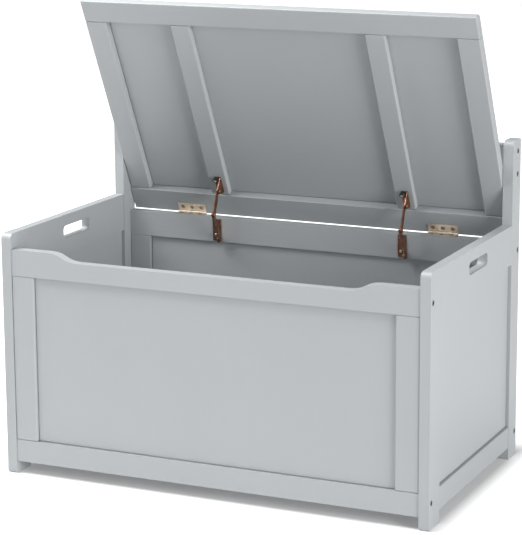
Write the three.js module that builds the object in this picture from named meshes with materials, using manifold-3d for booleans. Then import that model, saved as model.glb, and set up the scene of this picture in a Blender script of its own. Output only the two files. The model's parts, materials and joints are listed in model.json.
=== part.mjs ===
import * as THREE from 'three';
import { mergeVertices } from 'three/addons/utils/BufferGeometryUtils.js';
import Module from 'manifold-3d';

// A painted wooden toy box with a hinged lid, drawn with the lid open.
// Millimetres, +Z up, +X to the right, +Y towards the back.
// Inside the chest group the front edges of the sides are at y = 0.

const wasm = await Module();
wasm.setup();

// Whole box
const boxWidth = 870;
const boxDepth = 496;
const board = 20;
const panelThickness = 8;
const panelRecess = 6;
const jointGap = 0.3;
const footHeight = 24.5;
const footRadius = 6;

// Side frames
const sideHeight = 473;
const postHeight = 638;
const frontStileWidth = 53.5;
const postWidth = 47;
const sideTopRailHeight = 77;
const bottomRailHeight = 43.5;
const frontCornerRadius = 12;
const postFrontRadius = 14;
const postBackRadius = 4;
const slotCentreY = 252.5;
const slotCentreZ = 438;
const slotLength = 103;
const slotHeight = 24;
const slotRadius = 8;

// Front and back frames
const frontInset = 2;
const frontTop = 443;
const frontTopRailHeight = 51;
const backTop = 434.6;
const backTopRailHeight = 52;
const frameStileWidth = 46;
const dipDepth = 16;
const dipInner = 275;
const dipOuter = 335;

// Backrest board between the rear posts
const backrestFront = 469;
const backrestLow = 556;
const backrestTop = 628;

// Floor
const cleatSize = 16;
const cleatLow = 25;
const floorThickness = 8;

// Lid, measured from the hinge pin with the lid shut
const openAngle = THREE.MathUtils.degToRad(64);
const hingeY = 495.5;
const hingeZ = 437.3;
const lidWidth = 828;
const lidLength = 500;
const lidThickness = 20;
const lidUnderside = 6.3;
const lidStileWidth = 45;
const frontRailWidth = 47;
const frontRailRadius = 10;
const rearRailWidth = 47;
const rearRailProud = 3.6;
const rearOverhang = 2.6;
const battenWidth = 40;
const battenX = 205;
const lidPanelThickness = 6;

// Butt hinges
const hingeX = 277.5;
const hingeLength = 63;
const leafWidth = 19;
const leafThickness = 1.6;
const knuckleRadius = 2.4;
const knuckleCount = 5;
const pinRadius = 1.2;
const pinClearance = 0.15;

// Lid stays
const stayX = 205;
const plateThickness = 2;
const armWidth = 11;
const boxPivot = { y: 467.5, z: 390 };
const lidPivot = { forward: 70, up: -14 };
const lowerArmLength = 66;
const upperArmLength = 49;
const studRadius = 2.5;
const studClearance = 0.2;
const rivetRadius = 4;
const rivetHeight = 1.5;
const noseRadius = 7;
const bracketNear = 53;
const bracketFar = 92;
const knobRadius = 6;
const knobHeight = 10;
const knobForward = 88;

// Assembly bolts
const boltLength = 45;
const boltRadius = 3;
const boltHeadRadius = 5;
const boltHeadHeight = 5;
const boltClearance = 0.3;
const boltSocketRadius = 2.6;
const boltSocketDepth = 3;
const boltPlaces = [
  { name: 'front_high', y: frontInset + board / 2, z: 417 },
  { name: 'front_low', y: frontInset + board / 2, z: 50 },
  { name: 'back_high', y: boxDepth - board / 2, z: 418 },
  { name: 'back_low', y: boxDepth - board / 2, z: 50 },
  { name: 'backrest_low', y: backrestFront + board / 2, z: 570 },
  { name: 'backrest_high', y: backrestFront + board / 2, z: 615 },
];

// Derived sizes
const innerX = boxWidth / 2 - board;
const railX = innerX - jointGap;
const bottomRailTop = footHeight + bottomRailHeight;
const backInner = boxDepth - board;
const frontInner = frontInset + board;
const lidOuter = lidUnderside + lidThickness;
const rearmost = hingeY + lidOuter * Math.sin(openAngle) + rearOverhang * Math.cos(openAngle);
const sideNames = [
  { name: 'left', sign: -1 },
  { name: 'right', sign: 1 },
];

function paint() {
  return new THREE.MeshStandardMaterial({ color: 0xb9bdc0, roughness: 0.45, metalness: 0 });
}

function brass() {
  return new THREE.MeshStandardMaterial({ color: 0xc2b08c, roughness: 0.35, metalness: 1 });
}

function bronze() {
  return new THREE.MeshStandardMaterial({ color: 0x8a5a44, roughness: 0.4, metalness: 1 });
}

function blackPlastic() {
  return new THREE.MeshStandardMaterial({ color: 0x1c1c1e, roughness: 0.3, metalness: 0 });
}

function steel() {
  return new THREE.MeshStandardMaterial({ color: 0xa9adb0, roughness: 0.35, metalness: 1 });
}

// Turns a closed geometry into a solid that can be cut and joined.
function toSolid(geometry) {
  const plain = geometry.clone();
  plain.deleteAttribute('normal');
  plain.deleteAttribute('uv');
  const merged = mergeVertices(plain, 1e-4);
  const mesh = new wasm.Mesh({
    numProp: 3,
    vertProperties: new Float32Array(merged.attributes.position.array),
    triVerts: new Uint32Array(merged.index.array),
  });
  return new wasm.Manifold(mesh);
}

function toGeometry(solid) {
  const mesh = solid.getMesh();
  const geometry = new THREE.BufferGeometry();
  geometry.setAttribute('position', new THREE.BufferAttribute(mesh.vertProperties, 3));
  geometry.setIndex(new THREE.BufferAttribute(mesh.triVerts, 1));
  geometry.computeVertexNormals();
  return geometry;
}

function cut(geometry, cutters) {
  let solid = toSolid(geometry);
  for (const cutter of cutters) {
    solid = solid.subtract(toSolid(cutter));
  }
  return toGeometry(solid);
}

function join(geometries) {
  let solid = toSolid(geometries[0]);
  for (const geometry of geometries.slice(1)) {
    solid = solid.add(toSolid(geometry));
  }
  return toGeometry(solid);
}

function block(x0, x1, y0, y1, z0, z1) {
  const geometry = new THREE.BoxGeometry(x1 - x0, y1 - y0, z1 - z0);
  return geometry.translate((x0 + x1) / 2, (y0 + y1) / 2, (z0 + z1) / 2);
}

function piece(parent, name, geometry, material) {
  const mesh = new THREE.Mesh(geometry, material);
  mesh.name = name;
  parent.add(mesh);
  return mesh;
}

// A flat board given by its faces, placed by its centre.
function plank(parent, name, x0, x1, y0, y1, z0, z1) {
  const geometry = new THREE.BoxGeometry(x1 - x0, y1 - y0, z1 - z0);
  const mesh = piece(parent, name, geometry, paint());
  mesh.position.set((x0 + x1) / 2, (y0 + y1) / 2, (z0 + z1) / 2);
  return mesh;
}

// A rod along X from x0 to x1.
function rod(x0, x1, y, z, radius, sides) {
  const geometry = new THREE.CylinderGeometry(radius, radius, x1 - x0, sides);
  return geometry.rotateZ(Math.PI / 2).translate((x0 + x1) / 2, y, z);
}

// Rectangle with a radius for each corner: low left, low right, high right, high left.
function roundedRectangle(path, x0, x1, y0, y1, radii) {
  const [a, b, c, d] = radii;
  path.moveTo(x0 + a, y0);
  path.lineTo(x1 - b, y0);
  if (b > 0) {
    path.absarc(x1 - b, y0 + b, b, -Math.PI / 2, 0, false);
  }
  path.lineTo(x1, y1 - c);
  if (c > 0) {
    path.absarc(x1 - c, y1 - c, c, 0, Math.PI / 2, false);
  }
  path.lineTo(x0 + d, y1);
  if (d > 0) {
    path.absarc(x0 + d, y1 - d, d, Math.PI / 2, Math.PI, false);
  }
  path.lineTo(x0, y0 + a);
  if (a > 0) {
    path.absarc(x0 + a, y0 + a, a, Math.PI, Math.PI * 1.5, false);
  }
  return path;
}

function extrude(shape, thickness, curveSegments) {
  return new THREE.ExtrudeGeometry(shape, { depth: thickness, bevelEnabled: false, curveSegments });
}

// The shape's x and y become Y and Z, and it is given thickness along X from x0.
function extrudeAlongX(shape, x0, thickness, curveSegments = 6) {
  const turn = new THREE.Matrix4().makeBasis(
    new THREE.Vector3(0, 1, 0),
    new THREE.Vector3(0, 0, 1),
    new THREE.Vector3(1, 0, 0),
  );
  return extrude(shape, thickness, curveSegments).applyMatrix4(turn).translate(x0, 0, 0);
}

// The shape's x and y become X and Z, and it is given thickness along Y from y0.
function extrudeAlongY(shape, y0, thickness, curveSegments = 6) {
  const geometry = extrude(shape, thickness, curveSegments);
  return geometry.rotateX(Math.PI / 2).translate(0, y0 + thickness, 0);
}

// Stepped hole for a bolt: a wide part for the head and a narrow part for the shank.
function boltHole(sign, place) {
  const outside = boxWidth / 2 + 1;
  const headEnd = boxWidth / 2 - boltHeadHeight - boltClearance;
  const tip = boxWidth / 2 - boltLength - 1;
  const head = rod(headEnd, outside, place.y, place.z, boltHeadRadius + boltClearance + 0.1, 20);
  const shank = rod(tip, outside, place.y, place.z, boltRadius + boltClearance, 16);
  const holes = [head, shank];
  if (sign < 0) {
    holes.forEach((hole) => hole.rotateZ(Math.PI).translate(0, 2 * place.y, 0));
  }
  return holes;
}

function holesFor(sign, names) {
  const wanted = boltPlaces.filter((place) => names.includes(place.name));
  return wanted.flatMap((place) => boltHole(sign, place));
}

function boltGeometry() {
  const profile = [
    new THREE.Vector2(0, 0),
    new THREE.Vector2(boltHeadRadius - 0.6, 0),
    new THREE.Vector2(boltHeadRadius, 0.6),
    new THREE.Vector2(boltHeadRadius, boltHeadHeight),
    new THREE.Vector2(boltRadius, boltHeadHeight),
    new THREE.Vector2(boltRadius, boltLength),
    new THREE.Vector2(0, boltLength),
  ];
  const body = new THREE.LatheGeometry(profile, 16);
  const socket = new THREE.CylinderGeometry(boltSocketRadius, boltSocketRadius, 2 * boltSocketDepth, 6);
  return cut(body, [socket]);
}

// Upright of a side frame with rounded corners; it stands on the floor.
function uprightShape(height, front, back, frontRadius, backRadius) {
  const radii = [footRadius, footRadius, backRadius, frontRadius];
  return roundedRectangle(new THREE.Shape(), front, back, 0, height, radii);
}

function addSide(parent, side) {
  const x0 = side.sign > 0 ? innerX : -boxWidth / 2;
  const postFront = boxDepth - postWidth;
  const railFront = frontStileWidth + jointGap;
  const railBack = postFront - jointGap;
  const topRailLow = sideHeight - sideTopRailHeight;

  const stileShape = uprightShape(sideHeight, 0, frontStileWidth, frontCornerRadius, 0);
  const stileHoles = holesFor(side.sign, ['front_high', 'front_low']);
  piece(parent, `${side.name}_front_stile`, cut(extrudeAlongX(stileShape, x0, board), stileHoles), paint());

  const postShape = uprightShape(postHeight, postFront, boxDepth, postFrontRadius, postBackRadius);
  const postHoles = holesFor(side.sign, ['back_high', 'back_low', 'backrest_low', 'backrest_high']);
  piece(parent, `${side.name}_rear_post`, cut(extrudeAlongX(postShape, x0, board), postHoles), paint());

  const railShape = new THREE.Shape();
  roundedRectangle(railShape, railFront, railBack, topRailLow, sideHeight, [0, 0, 0, 0]);
  const slot = roundedRectangle(
    new THREE.Path(),
    slotCentreY - slotLength / 2,
    slotCentreY + slotLength / 2,
    slotCentreZ - slotHeight / 2,
    slotCentreZ + slotHeight / 2,
    [slotRadius, slotRadius, slotRadius, slotRadius],
  );
  railShape.holes.push(slot);
  piece(parent, `${side.name}_top_rail`, extrudeAlongX(railShape, x0, board), paint());

  plank(parent, `${side.name}_bottom_rail`, x0, x0 + board, railFront, railBack, footHeight, bottomRailTop);

  const panelX = x0 + (side.sign > 0 ? board - panelRecess - panelThickness : panelRecess);
  const panelBack = panelX + panelThickness;
  const low = bottomRailTop + jointGap;
  const high = topRailLow - jointGap;
  plank(parent, `${side.name}_panel`, panelX, panelBack, railFront, railBack, low, high);
}

function frontTopRailShape() {
  const low = frontTop - frontTopRailHeight;
  const middle = (dipInner + dipOuter) / 2;
  const shape = new THREE.Shape();
  shape.moveTo(-railX, low);
  shape.lineTo(railX, low);
  shape.lineTo(railX, frontTop);
  shape.lineTo(dipOuter, frontTop);
  shape.bezierCurveTo(middle, frontTop, middle, frontTop - dipDepth, dipInner, frontTop - dipDepth);
  shape.lineTo(-dipInner, frontTop - dipDepth);
  shape.bezierCurveTo(-middle, frontTop - dipDepth, -middle, frontTop, -dipOuter, frontTop);
  shape.lineTo(-railX, frontTop);
  shape.closePath();
  return shape;
}

function bothSides(names) {
  return [...holesFor(-1, names), ...holesFor(1, names)];
}

// Two stiles and a recessed panel between a bottom rail and a top rail.
function addFrameFilling(parent, prefix, front, topRailLow) {
  const low = bottomRailTop + jointGap;
  const high = topRailLow - jointGap;
  const stileInner = railX - frameStileWidth;
  plank(parent, `${prefix}_left_stile`, -railX, -stileInner, front, front + board, low, high);
  plank(parent, `${prefix}_right_stile`, stileInner, railX, front, front + board, low, high);
  const edge = stileInner - jointGap;
  const panelFront = front + panelRecess;
  plank(parent, `${prefix}_panel`, -edge, edge, panelFront, panelFront + panelThickness, low, high);
}

function addFront(parent) {
  const topRail = extrudeAlongY(frontTopRailShape(), frontInset, board);
  piece(parent, 'front_top_rail', cut(topRail, bothSides(['front_high'])), paint());
  const lowRail = block(-railX, railX, frontInset, frontInner, footHeight, bottomRailTop);
  piece(parent, 'front_bottom_rail', cut(lowRail, bothSides(['front_low'])), paint());
  addFrameFilling(parent, 'front', frontInset, frontTop - frontTopRailHeight);
}

function addBack(parent) {
  const low = backTop - backTopRailHeight;
  const topRail = block(-railX, railX, backInner, boxDepth, low, backTop);
  piece(parent, 'back_top_rail', cut(topRail, bothSides(['back_high'])), paint());
  const lowRail = block(-railX, railX, backInner, boxDepth, footHeight, bottomRailTop);
  piece(parent, 'back_bottom_rail', cut(lowRail, bothSides(['back_low'])), paint());
  addFrameFilling(parent, 'back', backInner, low);
}

function addBackrest(parent) {
  const body = block(-railX, railX, backrestFront, backrestFront + board, backrestLow, backrestTop);
  piece(parent, 'backrest_board', cut(body, bothSides(['backrest_low', 'backrest_high'])), paint());
}

function addFloor(parent) {
  const high = cleatLow + cleatSize;
  const front = frontInner + jointGap;
  const back = backInner - jointGap;
  plank(parent, 'floor_cleat_front', -railX, railX, front, front + cleatSize, cleatLow, high);
  plank(parent, 'floor_cleat_back', -railX, railX, back - cleatSize, back, cleatLow, high);
  const floorLow = high + jointGap;
  plank(parent, 'floor_panel', -railX, railX, front, back, floorLow, floorLow + floorThickness);
}

// In the lid group the hinge pin is at the origin and -Y runs towards the lid's front edge when shut.
function addLid(parent) {
  const low = lidUnderside;
  const high = lidOuter;
  const half = lidWidth / 2;
  const frontRailBack = -lidLength + frontRailWidth;
  const rearRailFront = -rearRailWidth;
  const stileFront = frontRailBack + jointGap;
  const stileBack = rearRailFront - jointGap;
  const stileInner = half - lidStileWidth;

  const frontShape = new THREE.Shape();
  roundedRectangle(frontShape, -lidLength, frontRailBack, low, high, [0, 0, 0, frontRailRadius]);
  piece(parent, 'lid_front_rail', extrudeAlongX(frontShape, -half, lidWidth), paint());

  plank(parent, 'lid_rear_rail', -half, half, rearRailFront, rearOverhang, low - rearRailProud, high);
  plank(parent, 'lid_left_stile', -half, -stileInner, stileFront, stileBack, low, high);
  plank(parent, 'lid_right_stile', stileInner, half, stileFront, stileBack, low, high);

  const panelEdge = stileInner - jointGap;
  plank(parent, 'lid_panel', -panelEdge, panelEdge, stileFront, stileBack, high - lidPanelThickness, high);

  const battenHigh = high - lidPanelThickness - jointGap;
  for (const side of sideNames) {
    const left = side.sign * battenX - battenWidth / 2;
    const right = left + battenWidth;
    plank(parent, `lid_${side.name}_batten`, left, right, stileFront, stileBack, low, battenHigh);
  }
}

// A leaf with its share of the knuckles. The plate runs towards -Y with its underside at plateLow.
function leafGeometry(centre, plateLow, firstKnuckle) {
  const start = centre - hingeLength / 2;
  const pitch = hingeLength / knuckleCount;
  const shoulder = -knuckleRadius - jointGap;
  const plateHigh = plateLow + leafThickness;
  const parts = [block(start, start + hingeLength, -leafWidth, shoulder, plateLow, plateHigh)];
  for (let i = firstKnuckle; i < knuckleCount; i += 2) {
    const x0 = start + i * pitch + jointGap / 2;
    const x1 = start + (i + 1) * pitch - jointGap / 2;
    parts.push(block(x0, x1, shoulder - 1, 0, plateLow, plateHigh));
    parts.push(rod(x0, x1, 0, 0, knuckleRadius, 16));
  }
  const bore = rod(start - 1, start + hingeLength + 1, 0, 0, pinRadius + pinClearance, 12);
  return cut(join(parts), [bore]);
}

function addHinge(chest, lid, side) {
  const centre = side.sign * hingeX;
  const name = `hinge_${side.name}`;
  const boxLeaf = piece(chest, `${name}_box_leaf`, leafGeometry(centre, -knuckleRadius, 0), brass());
  boxLeaf.position.set(0, hingeY, hingeZ);
  const lidPlateLow = knuckleRadius - leafThickness;
  piece(lid, `${name}_lid_leaf`, leafGeometry(centre, lidPlateLow, 1), brass());
  const pin = rod(-hingeLength / 2, hingeLength / 2, 0, 0, pinRadius, 12);
  const pinMesh = piece(chest, `${name}_pin`, pin, steel());
  pinMesh.position.set(centre, hingeY, hingeZ);
}

function openLidPivot() {
  const c = Math.cos(openAngle);
  const s = Math.sin(openAngle);
  return {
    y: hingeY - lidPivot.forward * c + lidPivot.up * s,
    z: hingeZ + lidPivot.forward * s + lidPivot.up * c,
  };
}

// Where the two arms meet, on the front side of the line between their pivots.
function elbowPoint() {
  const top = openLidPivot();
  const dy = top.y - boxPivot.y;
  const dz = top.z - boxPivot.z;
  const span = Math.hypot(dy, dz);
  const along = (lowerArmLength ** 2 - upperArmLength ** 2 + span ** 2) / (2 * span);
  const aside = Math.sqrt(lowerArmLength ** 2 - along ** 2);
  return {
    y: boxPivot.y + (dy * along - dz * aside) / span,
    z: boxPivot.z + (dz * along + dy * aside) / span,
  };
}

// A flat arm standing up from the origin, with a stud at its foot and a rivet at its head.
// The stud goes through a bracket ear on the side given by studSign.
function armGeometry(length, studSign) {
  const half = armWidth / 2;
  const outline = new THREE.Shape();
  roundedRectangle(outline, -half, half, -half, length + half, [half, half, half, half]);
  const plate = extrudeAlongX(outline, 0, plateThickness, 4);
  const reach = plateThickness + 2 * jointGap + 0.2;
  const face = studSign > 0 ? plateThickness : 0;
  const xs = [0, reach, reach + rivetHeight].map((d) => face + studSign * d);
  const inside = face - studSign;
  const span = (a, b, z, radius) => rod(Math.min(a, b), Math.max(a, b), 0, z, radius, 16);
  const stud = span(inside, xs[2] - studSign * 0.1, 0, studRadius);
  const head = span(xs[1], xs[2], 0, rivetRadius);
  const rivet = span(inside, face + studSign * rivetHeight, length, rivetRadius);
  return join([plate, stud, head, rivet]);
}

function addArm(parent, name, from, to, x, length, studSign) {
  const arm = piece(parent, name, armGeometry(length, studSign), bronze());
  arm.position.set(x, from.y, from.z);
  arm.rotation.x = Math.atan2(from.y - to.y, to.z - from.z);
}

// Plate on the inside of the back rail, with an ear that holds the lower arm.
function boxBracketGeometry(x0) {
  const back = backInner - jointGap;
  const front = back - plateThickness;
  const low = boxPivot.z - 4;
  const x1 = x0 + plateThickness;
  const base = block(x0 - 16, x1, front, back, low, backTop - 4);
  const ear = block(x0, x1, boxPivot.y, back - 0.5, low, boxPivot.z + 12);
  const nose = rod(x0, x1, boxPivot.y, boxPivot.z, noseRadius, 20);
  const bore = rod(x0 - 1, x1 + 1, boxPivot.y, boxPivot.z, studRadius + studClearance, 16);
  return cut(join([base, ear, nose]), [bore]);
}

// Plate on the batten, with a three-cornered ear that holds the upper arm.
function lidBracketGeometry(x0) {
  const high = lidUnderside - jointGap;
  const low = high - plateThickness;
  const x1 = x0 + plateThickness;
  const base = block(x0 - 12, x1, -bracketFar, -bracketNear, low, high);
  const ear = new THREE.Shape();
  ear.moveTo(-bracketNear, high - 0.5);
  ear.lineTo(-bracketFar, high - 0.5);
  ear.lineTo(-lidPivot.forward - 5, lidPivot.up - 4.5);
  ear.lineTo(-lidPivot.forward + 5, lidPivot.up - 4.5);
  ear.closePath();
  const plate = extrudeAlongX(ear, x0, plateThickness);
  const nose = rod(x0, x1, -lidPivot.forward, lidPivot.up, noseRadius, 20);
  const bore = rod(x0 - 1, x1 + 1, -lidPivot.forward, lidPivot.up, studRadius + studClearance, 16);
  return cut(join([base, plate, nose]), [bore]);
}

// Round knob that stands on the lid bracket's base plate.
function knobGeometry(x) {
  const edge = 1.5;
  const profile = [
    new THREE.Vector2(0, 0),
    new THREE.Vector2(knobRadius - edge, 0),
    new THREE.Vector2(knobRadius, edge),
    new THREE.Vector2(knobRadius, knobHeight - edge),
    new THREE.Vector2(knobRadius - edge, knobHeight),
    new THREE.Vector2(0, knobHeight),
  ];
  const knob = new THREE.LatheGeometry(profile, 20);
  const seat = lidUnderside - plateThickness - 2 * jointGap;
  return knob.rotateX(-Math.PI / 2).translate(x, -knobForward, seat);
}

function addStay(chest, lid, side) {
  const centre = side.sign * stayX;
  const step = plateThickness + 0.5;
  const elbow = elbowPoint();
  const name = `stay_${side.name}`;
  piece(chest, `${name}_box_bracket`, boxBracketGeometry(centre), bronze());
  addArm(chest, `${name}_lower_arm`, boxPivot, elbow, centre + step, lowerArmLength, -1);
  addArm(chest, `${name}_upper_arm`, openLidPivot(), elbow, centre + 2 * step, upperArmLength, 1);
  piece(lid, `${name}_lid_bracket`, lidBracketGeometry(centre + 3 * step), bronze());
  piece(lid, `${name}_knob`, knobGeometry(centre + 0.5), blackPlastic());
}

function addBolts(parent, side) {
  for (const place of boltPlaces) {
    const bolt = piece(parent, `bolt_${side.name}_${place.name}`, boltGeometry(), steel());
    bolt.position.set((side.sign * boxWidth) / 2, place.y, place.z);
    bolt.rotation.z = (side.sign * Math.PI) / 2;
  }
}

function buildToyBox() {
  const toyBox = new THREE.Group();
  const chest = new THREE.Group();
  chest.position.y = -rearmost / 2;
  toyBox.add(chest);
  const lid = new THREE.Group();
  lid.position.set(0, hingeY, hingeZ);
  lid.rotation.x = -openAngle;
  chest.add(lid);

  addFront(chest);
  addBack(chest);
  addBackrest(chest);
  addFloor(chest);
  addLid(lid);
  for (const side of sideNames) {
    addSide(chest, side);
    addHinge(chest, lid, side);
    addStay(chest, lid, side);
    addBolts(chest, side);
  }
  return toyBox;
}

export default buildToyBox();
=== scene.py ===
import json
import math

import bmesh
import bpy
from mathutils import Matrix, Vector


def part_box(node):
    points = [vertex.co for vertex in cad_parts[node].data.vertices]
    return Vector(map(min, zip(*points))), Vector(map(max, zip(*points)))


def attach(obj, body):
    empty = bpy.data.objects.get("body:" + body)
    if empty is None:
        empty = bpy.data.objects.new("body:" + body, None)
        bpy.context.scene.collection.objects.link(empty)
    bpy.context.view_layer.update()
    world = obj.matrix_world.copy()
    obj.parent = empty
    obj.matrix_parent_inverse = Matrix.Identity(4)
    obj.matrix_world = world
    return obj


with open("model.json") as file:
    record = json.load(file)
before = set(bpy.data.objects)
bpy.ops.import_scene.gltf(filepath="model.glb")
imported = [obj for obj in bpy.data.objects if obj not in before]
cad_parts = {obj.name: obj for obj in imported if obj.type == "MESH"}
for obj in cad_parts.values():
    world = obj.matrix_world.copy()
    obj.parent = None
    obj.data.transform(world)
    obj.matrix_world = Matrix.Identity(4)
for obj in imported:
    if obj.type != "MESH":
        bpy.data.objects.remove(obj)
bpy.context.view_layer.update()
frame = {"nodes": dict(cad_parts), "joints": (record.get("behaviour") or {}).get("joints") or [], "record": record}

# Wooden toy box with its lid open: finishes, small hardware, light and camera.
# Metres, Z up, the front of the box towards -Y.

print("frame loaded:", len(frame["nodes"]), "nodes")
scene = bpy.context.scene
nodes = frame["nodes"]
joints = {joint["name"]: joint for joint in frame["joints"]}
slotOf = {part["node"]: part["material_slot"] for part in frame["record"]["subparts"]}

# The lid's own space: origin on the hinge pin, -Y to the front edge when shut.
hingePin = Vector(joints["lid_hinge"]["pos_m"])
openAngle = math.radians(joints["lid_hinge"]["range_deg"][1])
lidTurn = Matrix.Rotation(-openAngle, 4, "X")
lidSpace = Matrix.Translation(hingePin) @ lidTurn
chestSpace = Matrix.Identity(4)


# A shader socket that can be used in sums.
class Wire:
    def __init__(self, finish, socket):
        self.finish = finish
        self.socket = socket

    def maths(self, operation, first, second):
        return self.finish.node("ShaderNodeMath", {"operation": operation}, {0: first, 1: second})

    def __add__(self, other):
        return self.maths("ADD", self, other)

    def __radd__(self, other):
        return self.maths("ADD", other, self)

    def __sub__(self, other):
        return self.maths("SUBTRACT", self, other)

    def __rsub__(self, other):
        return self.maths("SUBTRACT", other, self)

    def __mul__(self, other):
        return self.maths("MULTIPLY", self, other)

    def __rmul__(self, other):
        return self.maths("MULTIPLY", other, self)


# A material and the one way its nodes are made.
class Finish:
    def __init__(self, name, **fixed):
        self.material = bpy.data.materials.new(name)
        self.material.use_nodes = True
        self.tree = self.material.node_tree
        self.shader = self.tree.nodes["Principled BSDF"]
        for socket, value in fixed.items():
            self.shader.inputs[socket].default_value = value

    def node(self, kind, settings, sockets, out=0):
        made = self.tree.nodes.new(kind)
        for setting, value in settings.items():
            if setting == "stops":
                self.setStops(made.color_ramp, value)
            else:
                setattr(made, setting, value)
        for socket, value in sockets.items():
            self.feed(made.inputs[socket], value)
        return Wire(self, made.outputs[out])

    def feed(self, socket, value):
        if isinstance(value, Wire):
            self.tree.links.new(value.socket, socket)
        else:
            socket.default_value = value

    def setStops(self, ramp, stops):
        while len(ramp.elements) < len(stops):
            ramp.elements.new(0.5)
        for element, (place, colour) in zip(ramp.elements, stops):
            element.position = place
            element.color = colour

    def drive(self, socket, value):
        self.feed(self.shader.inputs[socket], value)

    # Texture space of the piece, turned by the lid's angle if asked, then stretched.
    def space(self, stretch=(1, 1, 1), turn=0.0):
        local = self.node("ShaderNodeTexCoord", {}, {}, "Object")
        turned = self.node("ShaderNodeMapping", {}, {"Vector": local, "Rotation": (turn, 0, 0)})
        return self.node("ShaderNodeMapping", {}, {"Vector": turned, "Scale": stretch})

    def noise(self, space, scale, detail=2.0, roughness=0.5):
        sockets = {"Vector": space, "Scale": scale, "Detail": detail, "Roughness": roughness}
        return self.node("ShaderNodeTexNoise", {}, sockets, "Fac")

    def ramp(self, value, low, high):
        stops = [(low, (0, 0, 0, 1)), (high, (1, 1, 1, 1))]
        return self.node("ShaderNodeValToRGB", {"stops": stops}, {"Fac": value})

    def blend(self, factor, first, second):
        sockets = {0: factor, 6: (*first, 1), 7: (*second, 1)}
        return self.node("ShaderNodeMix", {"data_type": "RGBA"}, sockets, 2)

    def bump(self, height, distance, strength=1.0):
        sockets = {"Height": height, "Distance": distance, "Strength": strength}
        self.drive("Normal", self.node("ShaderNodeBump", {}, sockets))


# Sprayed satin paint over smooth boards. The grain shows only as a faint ripple along each board.
paint = {
    "colour": (0.408, 0.427, 0.440),
    "deeper": (0.396, 0.415, 0.428),
    "roughness": 0.40,
    "roughnessRange": 0.10,
    "patchScale": 5.0,
    "patchStops": (0.35, 0.65),
    "grainAcross": 260.0,
    "grainAlong": 7.0,
    "grainStops": (0.3, 0.7),
    "grainShare": 0.35,
    "peelScale": 520.0,
    "grainHeight": 0.00010,
    "peelHeight": 0.00005,
}


def paintFinish(name, axis, turn=0.0):
    stretch = [paint["grainAcross"]] * 3
    stretch["XYZ".index(axis)] = paint["grainAlong"]
    made = Finish(name, IOR=1.5)
    plain = made.space(turn=turn)
    grain = made.noise(made.space(stretch, turn), 1.0, 4.0, 0.6)
    patches = made.noise(plain, paint["patchScale"], 3.0)
    peel = made.noise(plain, paint["peelScale"], 2.0)
    cloudy = made.ramp(patches, *paint["patchStops"])
    streaky = made.ramp(grain, *paint["grainStops"])
    tone = (1 - paint["grainShare"]) * cloudy + paint["grainShare"] * streaky
    made.drive("Base Color", made.blend(tone, paint["deeper"], paint["colour"]))
    spread = paint["roughnessRange"]
    made.drive("Roughness", paint["roughness"] - spread / 2 + spread * (0.5 * patches + 0.5 * peel))
    heights = grain * (paint["grainHeight"] / paint["peelHeight"]) + peel
    made.bump(heights, paint["peelHeight"])
    return made.material


# Worn, slightly tarnished metal with fine rolling lines along X.
metal = {
    "cloudScale": 90.0,
    "tarnishStops": (0.38, 0.68),
    "tarnishRoughness": 0.16,
    "linesAcross": 54.0,
    "linesAlong": 900.0,
    "linesRoughness": 0.08,
    "cloudHeight": 0.6,
    "relief": 0.00003,
}


def metalFinish(name, clean, dull, roughness):
    made = Finish(name, Metallic=1.0)
    cloud = made.noise(made.space(), metal["cloudScale"], 4.0, 0.65)
    stretch = (metal["linesAlong"], metal["linesAcross"], metal["linesAcross"])
    brushed = made.noise(made.space(stretch), 1.0, 2.0)
    tarnish = made.ramp(cloud, *metal["tarnishStops"])
    made.drive("Base Color", made.blend(tarnish, clean, dull))
    worn = roughness + metal["tarnishRoughness"] * tarnish + metal["linesRoughness"] * brushed
    made.drive("Roughness", worn)
    made.bump(brushed + metal["cloudHeight"] * cloud, metal["relief"])
    return made.material


# Moulded plastic with a fine pebble and greasy smears.
plastic = {
    "pebbleScale": 1400.0,
    "smearScale": 60.0,
    "smearStops": (0.4, 0.75),
    "smearRoughness": 0.12,
    "lighterBy": 1.6,
    "lighterAdd": 0.004,
    "relief": 0.00003,
}


def plasticFinish(name, colour, roughness):
    made = Finish(name)
    plain = made.space()
    pebble = made.noise(plain, plastic["pebbleScale"], 2.0)
    smear = made.noise(plain, plastic["smearScale"], 3.0)
    lighter = tuple(channel * plastic["lighterBy"] + plastic["lighterAdd"] for channel in colour)
    patch = made.ramp(smear, *plastic["smearStops"])
    made.drive("Base Color", made.blend(patch, colour, lighter))
    made.drive("Roughness", roughness + plastic["smearRoughness"] * smear)
    made.bump(pebble, plastic["relief"])
    return made.material


finishes = {
    "paintAcross": paintFinish("paintAcross", "X"),
    "paintUpright": paintFinish("paintUpright", "Z"),
    "paintDeep": paintFinish("paintDeep", "Y"),
    "paintLidDeep": paintFinish("paintLidDeep", "Y", openAngle),
    "hinge_brass": metalFinish("hingeBrass", (0.80, 0.73, 0.64), (0.60, 0.53, 0.44), 0.44),
    "hinge_screw": metalFinish("hingeScrew", (0.36, 0.31, 0.25), (0.16, 0.13, 0.10), 0.30),
    # Bolt heads: dark steel whose darkness also stands in as painted shade for the hollow round each head, which
    # is not modelled.
    "bolt": metalFinish("darkSteelAndShadeBolt", (0.20, 0.21, 0.22), (0.10, 0.105, 0.11), 0.28),
    "stay_bronze": metalFinish("stayBronze", (0.40, 0.20, 0.125), (0.16, 0.075, 0.05), 0.30),
    "rivet_brass": metalFinish("rivetBrass", (0.66, 0.47, 0.24), (0.40, 0.26, 0.12), 0.22),
    "steel": metalFinish("zincSteel", (0.52, 0.54, 0.56), (0.34, 0.35, 0.36), 0.26),
    "screw": metalFinish("brightScrew", (0.66, 0.65, 0.62), (0.40, 0.38, 0.34), 0.20),
    "black_plastic": plasticFinish("blackPlastic", (0.010, 0.010, 0.011), 0.30),
}
print("finishes ready:", len(finishes))

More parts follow.
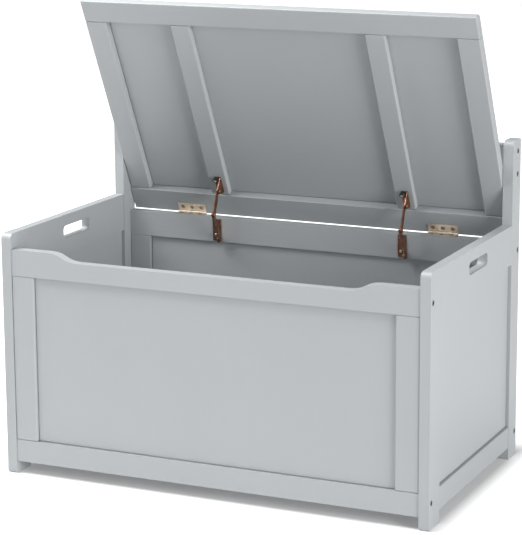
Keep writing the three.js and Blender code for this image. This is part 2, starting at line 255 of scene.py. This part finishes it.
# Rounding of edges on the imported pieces: widths in metres, angles in degrees.
edges = {
    "weld": 0.000002,
    "board": 0.0020,
    "atHinge": 0.0006,
    "metal": 0.0003,
    "bolt": 0.0005,
    "steps": 3,
    "sharpest": 28,
    "flat": 0.5,
}


def paintFor(name):
    low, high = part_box(name)
    if name.startswith("lid_") and not name.endswith(("front_rail", "rear_rail", "panel")):
        return finishes["paintLidDeep"]
    if name.startswith("lid_"):
        return finishes["paintAcross"]
    size = high - low
    if name.endswith("panel") or size.z > max(size.x, size.y):
        return finishes["paintUpright"]
    return finishes["paintAcross"] if size.x > size.y else finishes["paintDeep"]


def soften(thing, width):
    stored = thing.data.attributes.get("custom_normal")
    if stored:
        thing.data.attributes.remove(stored)
    weld = thing.modifiers.new("weld", "WELD")
    weld.merge_threshold = edges["weld"]
    whole = thing.modifiers.new("wholeFaces", "DECIMATE")
    whole.decimate_type = "DISSOLVE"
    whole.angle_limit = math.radians(edges["flat"])
    bevel = thing.modifiers.new("arris", "BEVEL")
    bevel.width = width
    bevel.segments = edges["steps"]
    bevel.limit_method = "ANGLE"
    bevel.angle_limit = math.radians(edges["sharpest"])
    bevel.harden_normals = True
    for polygon in thing.data.polygons:
        polygon.use_smooth = True


def dressNodes():
    for name, thing in nodes.items():
        slotName = slotOf[name]
        thing.data.materials.clear()
        if slotName == "paint":
            thing.data.materials.append(paintFor(name))
            besideHinge = name in ("lid_rear_rail", "back_top_rail")
            soften(thing, edges["atHinge"] if besideHinge else edges["board"])
            continue
        isBolt = name.startswith("bolt")
        thing.data.materials.append(finishes["bolt" if isBolt else slotName])
        soften(thing, edges["bolt"] if isBolt else edges["metal"])


dressNodes()
print("packed pieces dressed")


# A closed turned solid about Z, from (radius, height) points that start and end on the axis.
def turned(points, sides):
    mesh = bmesh.new()
    rings = []
    for radius, height in points:
        if radius == 0:
            rings.append([mesh.verts.new((0, 0, height))])
            continue
        angles = [2 * math.pi * i / sides for i in range(sides)]
        ring = [mesh.verts.new((radius * math.cos(a), radius * math.sin(a), height)) for a in angles]
        rings.append(ring)
    for low, high in zip(rings, rings[1:]):
        for i in range(sides):
            j = (i + 1) % sides
            around = [low[i % len(low)], low[j % len(low)], high[j % len(high)], high[i % len(high)]]
            mesh.faces.new(list(dict.fromkeys(around)))
    bmesh.ops.recalc_face_normals(mesh, faces=mesh.faces)
    return mesh


def toObject(mesh, name):
    data = bpy.data.meshes.new(name)
    for face in mesh.faces:
        face.smooth = True
    mesh.to_mesh(data)
    mesh.free()
    thing = bpy.data.objects.new(name, data)
    scene.collection.objects.link(thing)
    return thing


def crossCutter(width, length, depth):
    mesh = bmesh.new()
    for turn in (0, math.pi / 2):
        spread = Matrix.Rotation(turn, 4, "Z") @ Matrix.Diagonal((length, width, depth, 1))
        bmesh.ops.create_cube(mesh, size=1.0, matrix=spread)
    return toObject(mesh, "crossCutter")


# The rounded top of a head or rivet, as (radius, height) points from its rim to just short of its middle.
def domeArc(radius, height, rim, steps):
    bend = [i * math.pi / 2 / steps for i in range(steps)]
    return [(radius * math.cos(a), height * (rim + (1 - rim) * math.sin(a))) for a in bend]


# Domed wood screw head with a cross recess. It stands on Z = 0. Shares are of its radius and height.
screwShape = {
    "rim": 0.35,
    "steps": 4,
    "sides": 20,
    "slotWidth": 0.26,
    "slotLength": 1.25,
    "slotDepth": 1.3,
    "sharpFrom": 35,
}


def screwData(radius, height):
    top = domeArc(radius, height, screwShape["rim"], screwShape["steps"])
    blank = turned([(0, 0), (radius, 0), *top, (0, height)], screwShape["sides"])
    head = toObject(blank, "screwBlank")
    slotSize = (radius * screwShape["slotWidth"], radius * screwShape["slotLength"])
    tool = crossCutter(*slotSize, height * screwShape["slotDepth"])
    tool.location.z = height
    cut = head.modifiers.new("recess", "BOOLEAN")
    cut.operation = "DIFFERENCE"
    cut.solver = "EXACT"
    cut.use_self = True
    cut.object = tool
    bpy.context.view_layer.update()
    ready = head.evaluated_get(bpy.context.evaluated_depsgraph_get())
    data = bpy.data.meshes.new_from_object(ready)
    data.name = "screwHead"
    data.set_sharp_from_angle(angle=math.radians(screwShape["sharpFrom"]))
    bpy.data.objects.remove(head)
    bpy.data.objects.remove(tool)
    return data


# Rivet head, slightly narrower where it stands on Z = 0.
domeShape = {"rim": 0.3, "steps": 5, "sides": 24, "footWidth": 0.92}


def domeData(radius, height):
    arc = domeArc(radius, height, domeShape["rim"], domeShape["steps"])
    points = [(0, 0), (radius * domeShape["footWidth"], 0), *arc, (0, height)]
    dome = toObject(turned(points, domeShape["sides"]), "domeBlank")
    data = dome.data
    bpy.data.objects.remove(dome)
    return data


# Stands a small piece on a surface: space is the lid's or the chest's, normal is in that space.
def stand(data, name, space, at, normal, body, finish, spin=0.0):
    thing = bpy.data.objects.new(name, data.copy())
    scene.collection.objects.link(thing)
    aim = Vector(normal).to_track_quat("Z", "Y").to_matrix().to_4x4()
    thing.matrix_world = space @ Matrix.Translation(at) @ aim @ Matrix.Rotation(spin, 4, "Z")
    thing.data.materials.clear()
    thing.data.materials.append(finishes[finish])
    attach(thing, body)
    return thing


# Screws in the hinge leaves, measured from the pin.
hingeScrews = {
    "radius": 0.0042,
    "height": 0.0007,
    "spread": 0.021,
    "ahead": 0.0108,
    "leafFromPin": 0.0008,
    "middleSpin": 0.5,
    "spinStep": 0.9,
}


def addHingeScrews():
    data = screwData(hingeScrews["radius"], hingeScrews["height"])
    for side in ("left", "right"):
        low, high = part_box(f"hinge_{side}_pin")
        middle = (low.x + high.x) / 2
        for i in (-1, 0, 1):
            x = middle + i * hingeScrews["spread"]
            spin = hingeScrews["middleSpin"] + hingeScrews["spinStep"] * i
            onBox = (x, hingePin.y - hingeScrews["ahead"], hingePin.z - hingeScrews["leafFromPin"])
            name = f"hinge_{side}_box_screw_{i + 2}"
            stand(data, name, chestSpace, onBox, (0, 0, 1), "box", "hinge_screw", spin)
            onLid = (x, -hingeScrews["ahead"], hingeScrews["leafFromPin"])
            name = f"hinge_{side}_lid_screw_{i + 2}"
            stand(data, name, lidSpace, onLid, (0, 0, -1), "lid", "hinge_screw", spin)


addHingeScrews()
print("hinge screws in place")

# Rivets and screws of the folding stays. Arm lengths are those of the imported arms.
stayTrim = {
    "lowerArm": 0.066,
    "upperArm": 0.049,
    "rivetRadius": 0.0031,
    "rivetHeight": 0.0012,
    "elbowInset": 0.0028,
    "screwRadius": 0.0032,
    "screwHeight": 0.0013,
    "screwIn": 0.0065,
    "screwFromBack": 0.002,
    "screwFromFoot": 0.014,
    "screwFromTop": 0.006,
    "knobScrewRadius": 0.0032,
    "knobScrewHeight": 0.0014,
    "knobForward": 0.088,
    "knobFace": -0.0063,
    "knobSpin": 0.3,
}


# Where the arms meet: the crossing of two circles, on the front side.
def elbowOf(low, high):
    span = (high - low).length
    lower, upper = stayTrim["lowerArm"], stayTrim["upperArm"]
    along = (lower ** 2 - upper ** 2 + span ** 2) / (2 * span)
    aside = math.sqrt(lower ** 2 - along ** 2)
    way = (high - low) / span
    return low + way * along + Vector((0, -way.z, way.y)) * aside


def addStayTrim():
    rivet = domeData(stayTrim["rivetRadius"], stayTrim["rivetHeight"])
    screw = screwData(stayTrim["screwRadius"], stayTrim["screwHeight"])
    knobScrew = screwData(stayTrim["knobScrewRadius"], stayTrim["knobScrewHeight"])
    for side in ("left", "right"):
        name = f"stay_{side}"
        foot = Vector(joints[f"{name}_lower"]["pos_m"])
        top = Vector(joints[f"{name}_upper"]["pos_m"])
        elbow = elbowOf(Vector((0, foot.y, foot.z)), Vector((0, top.y, top.z)))
        lower, upper = f"{name}_lower_arm", f"{name}_upper_arm"
        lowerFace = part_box(lower)[0].x
        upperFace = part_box(upper)[1].x

        elbowFace = upperFace - stayTrim["elbowInset"]
        rivets = [
            ("foot_rivet", (lowerFace, foot.y, foot.z), -1, lower),
            ("top_rivet", (upperFace, top.y, top.z), 1, upper),
            ("elbow_rivet", (elbowFace, elbow.y, elbow.z), 1, upper),
        ]
        for label, at, way, body in rivets:
            label = f"{name}_{label}"
            stand(rivet, label, chestSpace, at, (way, 0, 0), body, "rivet_brass")

        low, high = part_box(f"{name}_box_bracket")
        heights = (low.z + stayTrim["screwFromFoot"], high.z - stayTrim["screwFromTop"])
        for i, z in enumerate(heights):
            at = (low.x + stayTrim["screwIn"], high.y - stayTrim["screwFromBack"], z)
            stand(screw, f"{name}_box_screw_{i + 1}", chestSpace, at, (0, -1, 0), "box", "screw", i)
        low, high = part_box(f"{name}_knob")
        at = ((low.x + high.x) / 2, -stayTrim["knobForward"], stayTrim["knobFace"])
        label = f"{name}_knob_screw"
        stand(knobScrew, label, lidSpace, at, (0, 0, -1), "lid", "screw", stayTrim["knobSpin"])


addStayTrim()
print("stay rivets and screws in place")

# Plain pale ground that runs out of sight. It looks lit from within, except close to the box, where a contact
# shadow is painted in as a dimmer glow. castGlow is what it throws on the box, the same everywhere.
ground = {
    "halfSize": 9.0,
    "colour": (0.80, 0.80, 0.80),
    "roughness": 0.8,
    "glow": 1.0,
    "paintedShadowGlow": 0.13,
    "castGlow": 0.12,
    "boxHalf": (0.43, 0.25),
    "paintedShadowFade": (0.05, 0.1),
    "cloudScale": 1.5,
    "cloudShade": 0.985,
}


def addGround():
    strength = {"Emission Strength": ground["glow"]}
    made = Finish("paleGround", Roughness=ground["roughness"], **strength)
    local = made.space()
    # Painted contact shadow: the glow is dimmed on the box's footprint and brightens again over a short band
    # around it.
    beyond = []
    for i in (0, 1):
        along = made.node("ShaderNodeSeparateXYZ", {}, {0: local}, i)
        outside = made.node("ShaderNodeMath", {"operation": "ABSOLUTE"}, {0: along}) - ground["boxHalf"][i]
        beyond.append(outside * (1 / ground["paintedShadowFade"][i]))
    away = made.ramp(beyond[0].maths("MAXIMUM", *beyond), 0.0, 1.0)
    near = ground["paintedShadowGlow"]
    glowing = near * (1 - away) + away
    looking = made.node("ShaderNodeLightPath", {}, {})
    made.drive("Emission Color", looking * (glowing - ground["castGlow"]) + ground["castGlow"])
    cloud = made.noise(local, ground["cloudScale"], 2.0)
    shade = tuple(channel * ground["cloudShade"] for channel in ground["colour"])
    made.drive("Base Color", made.blend(cloud, shade, ground["colour"]))
    mesh = bmesh.new()
    bmesh.ops.create_grid(mesh, x_segments=2, y_segments=2, size=ground["halfSize"])
    floor = toObject(mesh, "groundPlane")
    floor.data.materials.append(made.material)


# Soft boxes: place, aim, size across, watts.
lights = {
    "rightKey": {"at": (5.6, -2.2, 1.5), "aim": (0, 0, 0.45), "size": 2.8, "power": 305},
    "frontLow": {"at": (-1.2, -4.2, 0.6), "aim": (0, 0, 0.4), "size": 2.0, "power": 12},
    "leftHigh": {"at": (-1.5, -0.6, 3.0), "aim": (0, 0, 0.4), "size": 2.0, "power": 150},
}

# The room is white to look at, and only a part of that is cast as light.
sky = {"colour": (1.0, 1.0, 1.0, 1.0), "seen": 1.0, "cast": 0.2}


def aimed(at, aim):
    toward = Vector(aim) - Vector(at)
    return Matrix.Translation(at) @ toward.to_track_quat("-Z", "Y").to_matrix().to_4x4()


def addLights():
    for name, choice in lights.items():
        data = bpy.data.lights.new(name, "AREA")
        data.shape = "SQUARE"
        data.size = choice["size"]
        data.energy = choice["power"]
        lamp = bpy.data.objects.new(name, data)
        lamp.matrix_world = aimed(choice["at"], choice["aim"])
        scene.collection.objects.link(lamp)
    world = bpy.data.worlds.new("whiteRoom")
    world.use_nodes = True
    tree = world.node_tree
    cast = tree.nodes["Background"]
    seen = tree.nodes.new("ShaderNodeBackground")
    for backdrop, use in ((cast, "cast"), (seen, "seen")):
        backdrop.inputs["Color"].default_value = sky["colour"]
        backdrop.inputs["Strength"].default_value = sky[use]
    choose = tree.nodes.new("ShaderNodeMixShader")
    tree.links.new(tree.nodes.new("ShaderNodeLightPath").outputs["Is Camera Ray"], choose.inputs[0])
    tree.links.new(cast.outputs[0], choose.inputs[1])
    tree.links.new(seen.outputs[0], choose.inputs[2])
    tree.links.new(choose.outputs[0], tree.nodes["World Output"].inputs["Surface"])
    scene.world = world


# The view from the front right, a little above the lid.
camera = {
    "at": (1.6516, -3.5704, 1.2751),
    "turnLeft": 0.403,
    "tiltDown": 0.198,
    "lens": 143.4,
    "shiftX": -0.1287,
    "shiftY": -0.0921,
}


def addCamera():
    data = bpy.data.cameras.new("viewCamera")
    data.sensor_fit = "HORIZONTAL"
    data.sensor_width = 36.0
    data.lens = camera["lens"]
    data.shift_x = camera["shiftX"]
    data.shift_y = camera["shiftY"]
    viewer = bpy.data.objects.new("viewCamera", data)
    viewer.location = camera["at"]
    viewer.rotation_euler = (math.pi / 2 - camera["tiltDown"], 0, camera["turnLeft"])
    scene.collection.objects.link(viewer)
    scene.camera = viewer


addGround()
addLights()
addCamera()
scene.view_settings.view_transform = "Standard"
print("ground, lights and camera ready")

bpy.context.view_layer.update()
